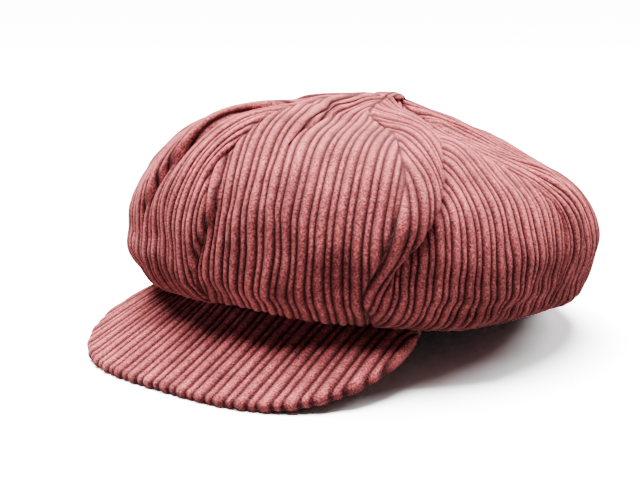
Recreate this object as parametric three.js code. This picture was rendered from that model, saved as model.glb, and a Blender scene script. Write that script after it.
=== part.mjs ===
// A newsboy cap lying on a table: eight corduroy crown panels over eight lining panels, a stiff brim
// covered in the same corduroy, a sweatband with an elastic at the back, and a covered button on top.
//
// Millimetres. +Z is up and the brim points along -Y, so +X is the wearer's left. While the cap is being
// shaped, x = y = 0 is the middle of the head opening and z = 0 is the table; the finished group is then
// moved so that its origin is the middle of its footprint.

import * as THREE from 'three';
import { ParametricGeometry } from 'three/addons/geometries/ParametricGeometry.js';
import { mergeGeometries, mergeVertices } from 'three/addons/utils/BufferGeometryUtils.js';

// ---- driving dimensions -------------------------------------------------------------------------

const HEAD_X = 84.5;          // half width of the opening's sewn edge
const HEAD_Y = 101;           // half length of the opening's sewn edge
const OPENING_Z = 24;         // height of the opening's edge at the ears
const OPENING_TILT = 16;      // the edge is this much higher in front and lower behind

const PANELS = 8;
const CORDUROY = 1.8;         // thickness of the crown fabric
const LINING_DEPTH = 4.2;     // from the crown's face to the lining's face
const LINING = 0.7;
const SEAM_GAP = 0.4;         // clear width along each seam
const CROWN_COLUMNS = 4;
const LINING_COLUMNS = 3;
const CROWN_ROWS = 18;
const APEX = 0.022;           // the panels stop this far from the top, round the button's shank

const BRIM_HALF_ANGLE = THREE.MathUtils.degToRad(58);
const BRIM_DEPTH = 62.5;      // from the opening's edge forward to the tip
const BRIM_HALF_WIDTH = 100;
const BRIM_SQUARENESS = 3.0;  // power of the outline's superellipse
const BRIM_SLOPE = 0.45;      // fall per millimetre forward
const BRIM_ROOT_Z = 31.2;
const BRIM_ARCH_BACK = 125;   // radius of the arch across the brim, at its ends
const BRIM_ARCH_FRONT = 530;  // and at its tip
const BRIM_END_WIDTH = 7;
const BRIM_ROOT_FADE = 0.4;   // share of the opening's size over which the root's rise dies away
const CROWN_CLEARANCE = 1.6;  // between the brim and the crown that lies on it
const BRIM_COLUMNS = 26;
const BRIM_ROWS = 6;
const BRIM_WRAP_ROWS = 4;
const BRIM_HALF_THICK = 2.8;  // half the covered brim's thickness
const BRIM_COVER = 1.4;
const BOARD_HALF_THICK = 0.8;

const BAND_INSET = 2.4;       // from the opening's edge in to the sweatband's outer face
const BAND_THICK = 1.5;
const BAND_HEIGHT = 32;
const BAND_LEAN = 4;          // the sweatband's top leans in by this much
const ELASTIC_HEIGHT = 18;
const ELASTIC_THICK = 0.8;
const ELASTIC_HALF_ANGLE = THREE.MathUtils.degToRad(24);

const BUTTON_Y = 25;          // the button lies behind the middle of the opening
const BUTTON_RADIUS = 9;
const BUTTON_HEIGHT = 4.4;
const BUTTON_COVER = 1.1;

// Outlines of the crown from the button down to the opening's edge: [reach, height]. The front and back
// ones are cut along the middle of the cap and reach along Y; the side one reaches along X.
const FRONT_OUTLINE = [
  [BUTTON_Y, 134.5], [-42, 140], [-79, 138], [-108, 127], [-129, 108],
  [-140, 86], [-138, 61], [-131, 43], [-120, 38], [-HEAD_Y, OPENING_Z + OPENING_TILT],
];
const SIDE_OUTLINE = [
  [0, 134.5], [32, 124], [73, 115.5], [101, 104], [125, 87],
  [133.5, 65], [129, 45], [120, 29], [103, 23], [HEAD_X, OPENING_Z],
];
const BACK_OUTLINE = [
  [BUTTON_Y, 134.5], [56, 121], [89, 110], [115, 87], [136, 65],
  [143.5, 43], [138, 18], [125, -2], [112, -4], [HEAD_Y, OPENING_Z - OPENING_TILT],
];

// ---- closed solids from surfaces ----------------------------------------------------------------

/** Part of a closed solid: one parametric patch, its points placed by f(u, v) -> Vector3. */
function patch(f, columns, rows) {
  return new ParametricGeometry((u, v, target) => target.copy(f(u, v)), columns, rows);
}

/** Joins patches that share their edges into one closed body. */
function weld(patches) {
  const joined = mergeGeometries(patches);
  joined.deleteAttribute('normal');
  joined.deleteAttribute('uv');
  const solid = mergeVertices(joined, 1e-4);
  solid.computeVertexNormals();
  return solid;
}

/**
 * A sheet with thickness: outer(u, v) is its face, with du x dv pointing out, and inner(u, v) its back.
 * A wrapped sheet closes on itself along u.
 */
function sheet(outer, inner, columns, rows, wrapped = false) {
  const across = (u, v, s) => inner(u, v).lerp(outer(u, v), s);
  const patches = [
    patch(outer, columns, rows),
    patch((u, v) => inner(1 - u, v), columns, rows),
    patch((u, s) => across(u, 0, s), columns, 1),
    patch((u, s) => across(u, 1, 1 - s), columns, 1),
  ];
  if (!wrapped) {
    patches.push(patch((s, v) => across(0, v, s), 1, rows));
    patches.push(patch((s, v) => across(1, v, 1 - s), 1, rows));
  }
  return weld(patches);
}

function material(color, roughness, metalness = 0) {
  return new THREE.MeshStandardMaterial({ color, roughness, metalness });
}

const CORDUROY_LOOK = material(0x8a4f52, 0.95);
const LINING_LOOK = material(0x7a5a58, 0.6);
const BAND_LOOK = material(0x4b3436, 0.85);
const BOARD_LOOK = material(0xd8d4c8, 0.7);
const ELASTIC_LOOK = material(0xe6e2da, 0.9);
const TAB_LOOK = material(0xefe9e2, 0.8);
const STEEL_LOOK = material(0xb8b8b6, 0.35, 1);

function mesh(name, geometry, look) {
  const made = new THREE.Mesh(geometry, look);
  made.name = name;
  return made;
}

// ---- the opening's edge -------------------------------------------------------------------------

/** A point on the opening's edge, moved in by inset. Angle 0 is +X and -90 degrees is the front. */
function openingPoint(angle, inset = 0, rise = 0) {
  const x = (HEAD_X - inset) * Math.cos(angle);
  const y = (HEAD_Y - inset) * Math.sin(angle);
  return new THREE.Vector3(x, y, OPENING_Z - OPENING_TILT * Math.sin(angle) + rise);
}

// ---- brim ---------------------------------------------------------------------------------------

/** The brim falls forward and arches across, flatter towards its tip. */
function brimFall(x, y) {
  const forward = -y - HEAD_Y;
  const frontness = THREE.MathUtils.clamp((forward + 60) / 120, 0, 1);
  const radius = THREE.MathUtils.lerp(BRIM_ARCH_BACK, BRIM_ARCH_FRONT, frontness);
  const arch = radius - Math.sqrt(radius * radius - x * x);
  return BRIM_ROOT_Z - BRIM_SLOPE * forward - arch;
}

/** Height of the brim's middle layer: near its root it rises to meet the opening's edge. */
function brimHeight(x, y) {
  const outside = Math.hypot(x / HEAD_X, y / HEAD_Y) - 1;
  const root = openingPoint(Math.atan2(y / HEAD_Y, x / HEAD_X));
  const sewn = root.z - BRIM_HALF_THICK - CROWN_CLEARANCE;
  const fade = Math.max(0, 1 - outside / BRIM_ROOT_FADE) ** 2;
  return brimFall(x, y) + fade * (sewn - brimFall(root.x, root.y));
}

const power = (value, exponent) => Math.sign(value) * Math.abs(value) ** exponent;

/** Plan of the brim: u from -1 to 1 across, w from 0 at the opening's edge to 1 at the outline. */
function brimPlan(u, w) {
  const angle = u * BRIM_HALF_ANGLE;
  const root = new THREE.Vector2(HEAD_X * Math.sin(angle), -HEAD_Y * Math.cos(angle));
  const endY = -HEAD_Y * Math.cos(BRIM_HALF_ANGLE);
  const turn = u * Math.PI / 2;
  const edge = new THREE.Vector2(
    BRIM_HALF_WIDTH * power(Math.sin(turn), 2 / BRIM_SQUARENESS),
    endY + (endY * -1 - HEAD_Y - BRIM_DEPTH) * Math.abs(Math.cos(turn)) ** (2 / BRIM_SQUARENESS),
  );
  const full = root.distanceTo(edge);
  const closing = Math.abs(u) ** 14;
  const width = THREE.MathUtils.lerp(full, BRIM_END_WIDTH, closing);
  return root.lerp(edge, w * width / full);
}

/** A point of the brim, offset from its middle layer. */
function brimPoint(u, w, offset = 0) {
  const plan = brimPlan(u, w);
  return new THREE.Vector3(plan.x, plan.y, brimHeight(plan.x, plan.y) + offset);
}

/** A flat layer of the brim between two offsets from its middle. */
function brimLayer(low, high, lastW) {
  const face = (offset) => (u, v) => brimPoint(1 - 2 * u, v * lastW, offset);
  return sheet(face(high), face(low), BRIM_COLUMNS, BRIM_ROWS);
}

/** The top cover runs forward over the board, turns round its edge and ends underneath. */
function brimTopCover() {
  const rows = BRIM_ROWS + BRIM_WRAP_ROWS;
  const face = (radius) => (u, v) => {
    const across = 1 - 2 * u;
    const row = v * rows;
    if (row <= BRIM_ROWS + 1e-6) {
      return brimPoint(across, row / BRIM_ROWS, radius);
    }
    const edge = brimPoint(across, 1);
    const out = edge.clone().sub(brimPoint(across, 0.9)).setZ(0).normalize();
    const turn = Math.PI * (row - BRIM_ROWS) / BRIM_WRAP_ROWS;
    edge.addScaledVector(out, radius * Math.sin(turn));
    edge.z += radius * Math.cos(turn);
    return edge;
  };
  return sheet(face(BRIM_HALF_THICK), face(BRIM_HALF_THICK - BRIM_COVER), BRIM_COLUMNS, rows);
}

function brim() {
  const group = new THREE.Group();
  const underTop = BRIM_COVER - BRIM_HALF_THICK;
  group.add(mesh('brim_top_cover', brimTopCover(), CORDUROY_LOOK));
  group.add(mesh('brim_board', brimLayer(-BOARD_HALF_THICK, BOARD_HALF_THICK, 0.98), BOARD_LOOK));
  group.add(mesh('brim_under_cover', brimLayer(-BRIM_HALF_THICK, underTop, 0.98), CORDUROY_LOOK));
  return group;
}

// ---- crown and lining ---------------------------------------------------------------------------

const outlineCurve = (points) => new THREE.SplineCurve(points.map(([reach, z]) => new THREE.Vector2(reach, z)));
const FRONT_CURVE = outlineCurve(FRONT_OUTLINE);
const SIDE_CURVE = outlineCurve(SIDE_OUTLINE);
const BACK_CURVE = outlineCurve(BACK_OUTLINE);
const UPPER = 5 / 9;          // the part of each outline above the crown's widest line

/** A point on the crown's face: angle round the cap, t from 0 at the button to 1 at the opening. */
function crownPoint(angle, t) {
  const front = FRONT_CURVE.getPoint(t);
  const side = SIDE_CURVE.getPoint(t);
  const back = BACK_CURVE.getPoint(t);
  const sine = Math.sin(angle);
  const centre = BUTTON_Y * (1 - THREE.MathUtils.smoothstep(t, 0, UPPER));
  const reach = sine < 0 ? centre - front.x : back.x - centre;
  const end = sine < 0 ? front : back;
  const z = THREE.MathUtils.lerp(side.y, end.y, sine * sine);
  return new THREE.Vector3(side.x * Math.cos(angle), centre + reach * sine, z);
}

/** The same face where it lies on the brim or on the table. */
function crownFace(angle, t) {
  const point = crownPoint(angle, t);
  const fromFront = Math.abs(Math.atan2(point.x / HEAD_X, -point.y / HEAD_Y)) / BRIM_HALF_ANGLE;
  if (t > UPPER && fromFront < 1.3) {
    const onBrim = brimHeight(point.x, point.y) + BRIM_HALF_THICK + CROWN_CLEARANCE;
    const held = 1 - THREE.MathUtils.smoothstep(fromFront, 1.08, 1.3);
    point.z = Math.max(point.z, THREE.MathUtils.lerp(point.z, onBrim, held));
  }
  point.z = Math.max(point.z, 0);
  return point;
}

/** A point under the crown's face, depth measured square to the face. */
function underCrown(angle, t, depth) {
  const step = 0.004;
  const along = crownPoint(angle, Math.min(t + step, 1)).sub(crownPoint(angle, Math.max(t - step, 0)));
  const around = crownPoint(angle + step, t).sub(crownPoint(angle - step, t));
  const normal = along.cross(around).normalize();
  return crownFace(angle, t).addScaledVector(normal, -depth);
}

/** One panel between two seams, from top to bottom along v and round the cap along u. */
function panel(index, top, bottom, columns) {
  const place = (depth) => (u, v) => {
    const t = THREE.MathUtils.lerp(APEX, 1, v);
    const half = SEAM_GAP / 2 / Math.max(SIDE_CURVE.getPoint(t).x, 1);
    const first = index * 2 * Math.PI / PANELS + half;
    const last = (index + 1) * 2 * Math.PI / PANELS - half;
    return underCrown(THREE.MathUtils.lerp(last, first, u), t, depth);
  };
  return sheet(place(top), place(bottom), columns, CROWN_ROWS);
}

function crown() {
  const group = new THREE.Group();
  for (let index = 0; index < PANELS; index += 1) {
    const outer = panel(index, 0, CORDUROY, CROWN_COLUMNS);
    group.add(mesh(`crown_panel_${index + 1}`, outer, CORDUROY_LOOK));
  }
  return group;
}

function lining() {
  const group = new THREE.Group();
  for (let index = 0; index < PANELS; index += 1) {
    const inner = panel(index, LINING_DEPTH, LINING_DEPTH + LINING, LINING_COLUMNS);
    group.add(mesh(`lining_panel_${index + 1}`, inner, LINING_LOOK));
  }
  return group;
}

// ---- sweatband, elastic and size tab ------------------------------------------------------------

/** An upright strip inside the opening, between two angles, from one rise to another. */
function bandStrip(first, last, inset, thick, low, high, columns) {
  const wrapped = last - first > 2 * Math.PI - 1e-6;
  const face = (depth) => (u, v) => {
    const rise = THREE.MathUtils.lerp(low, high, v);
    const lean = BAND_LEAN * rise / BAND_HEIGHT;
    return openingPoint(THREE.MathUtils.lerp(first, last, u), inset + depth + lean, rise);
  };
  return sheet(face(0), face(thick), columns, 3, wrapped);
}

function band() {
  const group = new THREE.Group();
  const back = Math.PI / 2;
  const wholeBand = bandStrip(0, 2 * Math.PI, BAND_INSET, BAND_THICK, 0, BAND_HEIGHT, 56);
  group.add(mesh('sweatband', wholeBand, BAND_LOOK));
  const elasticLow = (BAND_HEIGHT - ELASTIC_HEIGHT) / 2;
  const elastic = bandStrip(
    back - ELASTIC_HALF_ANGLE, back + ELASTIC_HALF_ANGLE,
    BAND_INSET - ELASTIC_THICK - 0.5, ELASTIC_THICK,
    elasticLow, elasticLow + ELASTIC_HEIGHT, 12,
  );
  group.add(mesh('back_elastic', elastic, ELASTIC_LOOK));
  const tabHalf = THREE.MathUtils.degToRad(8);
  const tab = bandStrip(back - tabHalf, back + tabHalf, BAND_INSET + BAND_THICK + 0.5, 0.6, 6, 20, 4);
  group.add(mesh('size_tab', tab, TAB_LOOK));
  return group;
}

// ---- covered button -----------------------------------------------------------------------------

/** A body of revolution from an outline that closes on itself or on the axis: [radius, height]. */
function turned(outline) {
  const points = outline.map(([radius, height]) => new THREE.Vector2(radius, height));
  const solid = new THREE.LatheGeometry(points, 20);
  solid.rotateX(Math.PI / 2);
  return weld([solid.toNonIndexed()]);
}

function button() {
  const group = new THREE.Group();
  const inside = BUTTON_RADIUS - BUTTON_COVER;
  const top = BUTTON_HEIGHT;
  const cover = turned([
    [4, 0.3], [BUTTON_RADIUS - 1.4, 0.3], [BUTTON_RADIUS, 1.4], [BUTTON_RADIUS - 0.4, 2.6],
    [6, top - 0.5], [0, top], [0, top - BUTTON_COVER], [5.4, top - BUTTON_COVER - 0.4],
    [inside - 0.3, 2.1], [inside, 1.4], [inside, 1.0], [4, 1.0], [4, 0.3],
  ]);
  const shell = turned([
    [inside - 1, 1.9], [inside - 0.5, 1.9], [5, top - BUTTON_COVER - 0.8], [0, top - BUTTON_COVER - 0.3],
    [0, top - BUTTON_COVER - 0.7], [4.8, top - BUTTON_COVER - 1.2], [inside - 1, 1.9],
  ]);
  const shank = turned([[0, -7.5], [1.5, -7.5], [1.5, 1.2], [inside - 0.4, 1.2], [inside - 0.4, 1.7], [0, 1.7]]);
  group.add(mesh('button_cover', cover, CORDUROY_LOOK));
  group.add(mesh('button_shell', shell, STEEL_LOOK));
  group.add(mesh('button_shank', shank, STEEL_LOOK));
  group.position.set(0, BUTTON_Y, FRONT_OUTLINE[0][1]);
  return group;
}

// ---- the cap ------------------------------------------------------------------------------------

const cap = new THREE.Group();
cap.add(crown(), lining(), brim(), band(), button());
cap.updateMatrixWorld(true);
const box = new THREE.Box3().setFromObject(cap, true);
cap.position.set(-(box.min.x + box.max.x) / 2, -(box.min.y + box.max.y) / 2, -box.min.z);
cap.updateMatrixWorld(true);

export default cap;
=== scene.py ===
"""A jumbo corduroy newsboy cap as it lies on a table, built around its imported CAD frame.

Lengths here are millimetres in the cap's own frame (x = y = 0 is the middle of the head opening, z = 0 the
table) until place() turns them into metres in the row frame. Angles go round the cap from the wearer's left,
so -90 degrees is the front. Fabric surfaces are grids over two parameters: round the cap (or across the
brim), and from the button down to the opening (or from the brim's root to its edge).
"""

import math

import bpy
import numpy as np
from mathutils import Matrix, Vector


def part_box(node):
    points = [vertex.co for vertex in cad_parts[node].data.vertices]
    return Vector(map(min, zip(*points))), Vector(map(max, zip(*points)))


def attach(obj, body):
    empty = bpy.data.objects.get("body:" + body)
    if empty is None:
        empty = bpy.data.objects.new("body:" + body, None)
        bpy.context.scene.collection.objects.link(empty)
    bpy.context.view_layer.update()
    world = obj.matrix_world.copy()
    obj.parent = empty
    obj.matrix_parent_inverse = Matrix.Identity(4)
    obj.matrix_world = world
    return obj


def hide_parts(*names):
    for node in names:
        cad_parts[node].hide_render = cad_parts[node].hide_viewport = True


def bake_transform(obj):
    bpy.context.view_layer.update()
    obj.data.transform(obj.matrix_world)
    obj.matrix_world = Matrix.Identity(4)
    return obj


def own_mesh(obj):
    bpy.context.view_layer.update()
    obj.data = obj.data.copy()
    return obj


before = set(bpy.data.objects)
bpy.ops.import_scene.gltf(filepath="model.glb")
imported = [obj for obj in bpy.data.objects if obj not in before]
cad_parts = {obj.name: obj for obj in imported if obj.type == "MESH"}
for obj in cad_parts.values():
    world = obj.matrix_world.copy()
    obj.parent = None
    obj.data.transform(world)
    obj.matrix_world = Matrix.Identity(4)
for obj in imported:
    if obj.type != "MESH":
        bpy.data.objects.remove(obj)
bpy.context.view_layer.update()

MM = 0.001

# ---- sizes ----

BAND_LOW, BAND_HIGH = (np.array(corner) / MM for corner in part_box("sweatband"))
BAND_INSET = 2.4                  # from the opening's sewn edge in to the sweatband
HEAD_X = (BAND_HIGH[0] - BAND_LOW[0]) / 2 + BAND_INSET
HEAD_Y = (BAND_HIGH[1] - BAND_LOW[1]) / 2 + BAND_INSET
SHIFT_Y = (BAND_HIGH[1] + BAND_LOW[1]) / 2
OPENING_Z = 24.0
OPENING_TILT = 16.0

PANELS = 8
PANEL_ANGLE = 360 / PANELS
APEX = 0.012                      # the panels stop just short of the button's shank
WIDEST = 5 / 9                    # share of each outline above the crown's widest line
BUTTON_Y = 25.0

WALE_PAIR = 9.0                   # one thick and one thin wale of the crown's corduroy
BRIM_WALE_PAIR = 10.2             # the same cloth drawn flat over the brim's board
THICK_SHARE = 0.62                # the thick wale's share of the pair
THICK_HEIGHT = 2.0
THIN_HEIGHT = 1.45

FRONT_OUTLINE = [
    (BUTTON_Y, 134.5), (-42, 140), (-79, 138), (-108, 127), (-129, 108),
    (-140, 86), (-138, 61), (-131, 43), (-120, 38), (-HEAD_Y, OPENING_Z + OPENING_TILT),
]
SIDE_OUTLINE = [
    (0, 134.5), (32, 124), (73, 115.5), (101, 104), (125, 87),
    (133.5, 65), (129, 45), (120, 29), (103, 23), (HEAD_X, OPENING_Z),
]
BACK_OUTLINE = [
    (BUTTON_Y, 134.5), (56, 121), (89, 110), (115, 87), (136, 65),
    (143.5, 43), (138, 18), (125, 1), (112, 1), (HEAD_Y, OPENING_Z - OPENING_TILT),
]

BRIM_HALF_ANGLE = 58.0
BRIM_DEPTH = 62.5
BRIM_HALF_WIDTH = 100.0
BRIM_SQUARENESS = 3.0             # power of the outline's superellipse
BRIM_SLOPE = 0.45                 # fall for each millimetre forward
BRIM_ROOT_Z = 31.2
BRIM_ARCH_BACK = 125.0            # radius across the brim at its root, and at its tip
BRIM_ARCH_FRONT = 530.0
BRIM_END_WIDTH = 7.0              # from root to edge at the brim's ends
BRIM_ROOT_FADE = 0.4
BRIM_HALF_THICK = 2.2
BRIM_FAN = 0.0022                 # the wales spread by this share per millimetre forward
CROWN_CLEARANCE = 1.8             # from the brim up to the crown's underside
TABLE_GAP = 0.1                   # no cloth is nearer the table than this
SOFT_TABLE_GAP = 1.6              # nor the crown before its pile and thickness are added

# ---- small tools ----


def smooth(value, low, high):
    """0 below low, 1 above high, and an even S between."""
    share = np.clip((value - low) / (high - low), 0, 1)
    return share * share * (3 - 2 * share)


def hump(value, middle, width):
    """A soft bump, 1 in the middle and nothing two widths away."""
    return np.exp(-((value - middle) / width) ** 2)


def spline(points, t):
    """The same curve as the CAD outlines: even steps of t from point to point."""
    points = np.array(points, float)
    last = len(points) - 1
    reached = np.clip(t, 0, 1) * last
    i = np.minimum(reached.astype(int), last - 1)
    w = (reached - i)[..., None]
    p0 = np.where((i == 0)[..., None], points[i], points[np.maximum(i - 1, 0)])
    p1 = points[i]
    p2 = points[i + 1]
    p3 = points[np.minimum(i + 2, last)]
    v0 = (p2 - p0) / 2
    v1 = (p3 - p1) / 2
    return (2 * p1 - 2 * p2 + v0 + v1) * w ** 3 + (3 * p2 - 3 * p1 - 2 * v0 - v1) * w ** 2 + v0 * w + p1


def eased(points, t):
    """A smooth line through (t, value) points, held level beyond the first and the last."""
    xs, ys = zip(*points)
    even = np.linspace(0, 1, 201)
    window = np.hanning(23) / np.hanning(23).sum()
    level = np.convolve(np.pad(np.interp(even, xs, ys), 11, mode="edge"), window, "valid")
    return np.interp(t, even, level)


def blurred(grid, spread):
    """A grid over the whole cap, softened: its columns join up round the cap and its rows end."""
    reach = int(3 * spread)
    kernel = np.exp(-0.5 * (np.arange(-reach, reach + 1) / spread) ** 2)
    kernel /= kernel.sum()
    for axis, mode in ((0, "wrap"), (1, "edge")):
        pad = [(0, 0)] * grid.ndim
        pad[axis] = (reach, reach)
        wide = np.pad(grid, pad, mode=mode)
        count = grid.shape[axis]
        grid = sum(k * np.take(wide, np.arange(i, i + count), axis=axis) for i, k in enumerate(kernel))
    return grid


def ripples(angle, t, seed, turns, drops, count=10):
    """Unevenness from about -1 to 1 that joins up round the cap; turns and drops are the least and the most
    waves round the cap and from the button to the opening."""
    dice = np.random.default_rng(seed)
    total = np.zeros(np.shape(angle))
    for _ in range(count):
        around = dice.integers(turns[0], turns[1] + 1)
        down = dice.uniform(*drops) * dice.choice((-1, 1))
        total += np.sin(np.radians(angle) * around + 2 * math.pi * (down * t + dice.random()))
    return total / math.sqrt(count)


def grid_normals(points):
    """Unit normals of a grid of points, columns x rows, with columns x rows turning outwards."""
    across = np.gradient(points, axis=0)
    along = np.gradient(points, axis=1)
    normal = np.cross(across, along)
    length = np.linalg.norm(normal, axis=-1, keepdims=True)
    return normal / np.maximum(length, 1e-9)


def arc_lengths(points, axis):
    """Running length along one axis of a grid of points."""
    steps = np.linalg.norm(np.diff(points, axis=axis), axis=-1)
    start = np.zeros_like(np.take(steps, [0], axis=axis))
    return np.concatenate([start, np.cumsum(steps, axis=axis)], axis=axis)


def place(points):
    """Millimetres in the cap's frame to metres in the row frame."""
    return (np.asarray(points) + np.array([0, SHIFT_Y, 0])) * MM


# ---- corduroy ----


def wale(across, pair=WALE_PAIR):
    """Height of the pile at a distance across the wales, and how far up its own wale each point is."""
    phase = np.mod(across / pair, 1.0)
    thick = phase < THICK_SHARE
    local = np.where(thick, phase / THICK_SHARE, (phase - THICK_SHARE) / (1 - THICK_SHARE)) * 2 - 1
    rise = np.maximum(1 - np.abs(local) ** 2.3, 0) ** 0.75
    return np.where(thick, THICK_HEIGHT, THIN_HEIGHT) * rise, rise


# ---- crown surface ----


def brim_fall(x, y):
    """The brim's plain slope and arch, before its root rises to the opening."""
    forward = -y - HEAD_Y
    frontness = np.clip((forward + 60) / 120, 0, 1)
    radius = BRIM_ARCH_BACK + (BRIM_ARCH_FRONT - BRIM_ARCH_BACK) * frontness
    arch = radius - np.sqrt(np.maximum(radius * radius - x * x, 1))
    return BRIM_ROOT_Z - BRIM_SLOPE * forward - arch


def brim_height(x, y):
    """The brim's middle layer, as in the CAD: near its root it rises to meet the opening's edge."""
    outside = np.hypot(x / HEAD_X, y / HEAD_Y) - 1
    angle = np.arctan2(y / HEAD_Y, x / HEAD_X)
    root_x = HEAD_X * np.cos(angle)
    root_y = HEAD_Y * np.sin(angle)
    sewn = OPENING_Z - OPENING_TILT * np.sin(angle) - BRIM_HALF_THICK - CROWN_CLEARANCE
    fade = np.maximum(0, 1 - outside / BRIM_ROOT_FADE) ** 2
    return brim_fall(x, y) + fade * (sewn - brim_fall(root_x, root_y))


def crown_base(angle, t):
    """The crown before its folds: angle in degrees, t from 0 at the button to 1 at the opening."""
    front = spline(FRONT_OUTLINE, t)
    side = spline(SIDE_OUTLINE, t)
    back = spline(BACK_OUTLINE, t)
    sine = np.sin(np.radians(angle))
    cosine = np.cos(np.radians(angle))
    centre = BUTTON_Y * (1 - smooth(t, 0, WIDEST))
    ahead = sine < 0
    reach = np.where(ahead, centre - front[..., 0], back[..., 0] - centre)
    end_z = np.where(ahead, front[..., 1], back[..., 1])
    z = side[..., 1] + (end_z - side[..., 1]) * sine ** 2
    return np.stack([side[..., 0] * cosine, centre + reach * sine, z], -1)


# How far each seam strays from its even place, as (t, degrees), from the wearer's left round the front.
SEAM_STRAY = [
    [(0.06, 0), (0.23, -9), (0.37, -1), (0.48, 3), (0.8, 0)],
    [(0.06, 0), (0.30, 3), (0.50, -3), (0.8, 0)],
    [(0.06, 0), (0.28, -3), (0.50, 3), (0.8, 0)],
    [(0.06, 0), (0.30, 3), (0.52, -2), (0.8, 0)],
    [(0.06, 0), (0.32, -3), (0.50, 3), (0.8, 0)],
    [(0.06, 0), (0.21, 10), (0.32, 11), (0.45, 6), (0.7, 0)],
    [(0.06, 0), (0.22, 4), (0.33, 4), (0.43, 1), (0.54, 4), (0.69, 0)],
    [(0.06, 0), (0.24, 4), (0.39, 3), (0.50, 0), (0.67, -5), (0.9, 0)],
]

# Each fold is a crease drawn on the crown as (t, angle) points. The cloth on its near side (smaller angles)
# stands up in a roll, leans over the crease and hides it; the far side dips under.
FOLDS = [
    dict(path=[(0.05, -17), (0.13, -21), (0.225, -27), (0.32, -31), (0.43, -36), (0.52, -41), (0.60, -45)],
         roll=7.0, valley=12.0, roll_width=15, valley_width=8, lean=6.5),
    dict(path=[(0.34, -88), (0.43, -87), (0.51, -84), (0.60, -88), (0.70, -92)],
         roll=1.5, valley=2.2, roll_width=14, valley_width=17, lean=0.0),
    dict(path=[(0.10, -100), (0.22, -101), (0.34, -103), (0.45, -108), (0.56, -112)],
         roll=3.0, valley=2.5, roll_width=14, valley_width=12, lean=0.0),
    dict(path=[(0.28, 14), (0.38, 12), (0.45, 11), (0.53, 10), (0.6, 8)],
         roll=4.0, valley=5.0, roll_width=9, valley_width=8, lean=2.0),
    dict(path=[(0.10, -118), (0.20, -121), (0.32, -125), (0.44, -130), (0.55, -135)],
         roll=0.0, valley=2.0, roll_width=14, valley_width=17, lean=0.0),
    dict(path=[(0.10, -64), (0.18, -68), (0.27, -70), (0.36, -72)],
         roll=1.5, valley=2.0, roll_width=14, valley_width=15, lean=0.0),
    dict(path=[(0.25, 60), (0.40, 66), (0.52, 68), (0.62, 66)],
         roll=4.0, valley=5.5, roll_width=12, valley_width=10, lean=2.5),
    dict(path=[(0.20, 113), (0.36, 108), (0.48, 107), (0.58, 110)],
         roll=4.5, valley=5.5, roll_width=13, valley_width=10, lean=3.0),
    dict(path=[(0.25, 150), (0.38, 155), (0.50, 157), (0.62, 152)],
         roll=3.0, valley=4.5, roll_width=12, valley_width=10, lean=1.5),
    dict(path=[(0.22, -178), (0.38, -174), (0.50, -172), (0.60, -174)],
         roll=4.0, valley=5.0, roll_width=12, valley_width=10, lean=2.0),
]

# Rounds and hollows without a crease: (angle, t, degrees wide, t wide, millimetres out).
SWELLS = [
    (-47, 0.37, 9, 0.10, 5.0),
    (-66, 0.50, 17, 0.16, 3.0),
    (-62, 0.17, 14, 0.09, -3.5),
    (-50, 0.09, 40, 0.06, -3.5),
    (-100, 0.30, 12, 0.10, 2.5),
    (-15, 0.45, 13, 0.18, 1.5),
    (-20, 0.655, 30, 0.030, 3.0),
    (-8, 0.74, 26, 0.05, 2.5),
    (-105, 0.20, 30, 0.09, -2.5),
    (-35, 0.16, 22, 0.07, -1.5),
    (-62, 0.71, 26, 0.035, 2.5),
    (-118, 0.66, 20, 0.04, 1.5),
    (25, 0.40, 14, 0.16, -1.0),
    (20, 0.24, 28, 0.09, -4.5),
    (-150, 0.64, 20, 0.06, -2.0),
    (90, 0.40, 16, 0.18, 3.0),
    (158, 0.42, 14, 0.16, 3.0),
    (-140, 0.27, 24, 0.10, 6.0),
    (-150, 0.46, 26, 0.14, -2.5),
    (-110, 0.58, 16, 0.08, -2.0),
    (45, 0.68, 16, 0.04, 2.0),
    (15, 0.66, 22, 0.05, -2.5),
    (130, 0.66, 24, 0.04, 3.0),
    (-160, 0.68, 22, 0.04, 3.0),
]
RIPPLE = 0.9                      # millimetres of unevenness all over the crown


def turn_between(angle, middle):
    """Signed degrees from middle to angle, the short way round."""
    return np.mod(angle - middle + 180, 360) - 180


def seam_angle(seam, t):
    """Where a seam runs: its even place round the cap and how far it strays."""
    return PANEL_ANGLE * seam + eased(SEAM_STRAY[seam % PANELS], t)


def fold_offsets(angle, t, points):
    """How far the folds, swells and ripples move each point: outwards, and round the cap, in millimetres."""
    radius = np.linalg.norm(points[..., :2] - np.array([0, BUTTON_Y * 0.4]), axis=-1)
    out = np.zeros_like(t)
    aside = np.zeros_like(t)
    for fold in FOLDS:
        path = fold["path"]
        away = np.radians(turn_between(angle, eased(path, t))) * radius
        first, last = path[0][0], path[-1][0]
        strength = smooth(t, first - 0.04, first + 0.10) * (1 - smooth(t, last - 0.12, last + 0.06))
        near = np.maximum(-away, 0)
        far = np.maximum(away, 0)
        roll = fold["roll"] * np.exp(-((near - 0.45 * fold["roll_width"]) / (0.7 * fold["roll_width"])) ** 2)
        dip = -fold["valley"] * np.exp(-(far / fold["valley_width"]) ** 2)
        side = smooth(away, -1.8, 1.8)
        out += strength * (roll * (1 - side) + dip * side)
        aside += strength * fold["lean"] * np.exp(-(away / (0.6 * fold["roll_width"])) ** 2) * (1 - side)
    for middle, at, wide, long, height in SWELLS:
        out += height * hump(turn_between(angle, middle), 0, wide) * hump(t, at, long)
    free = smooth(t, 0.05, 0.2) * (1 - smooth(t, 0.84, 0.98))
    return out + RIPPLE * free * ripples(angle, t, 3, (5, 12), (0.5, 1.8)), aside


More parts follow.
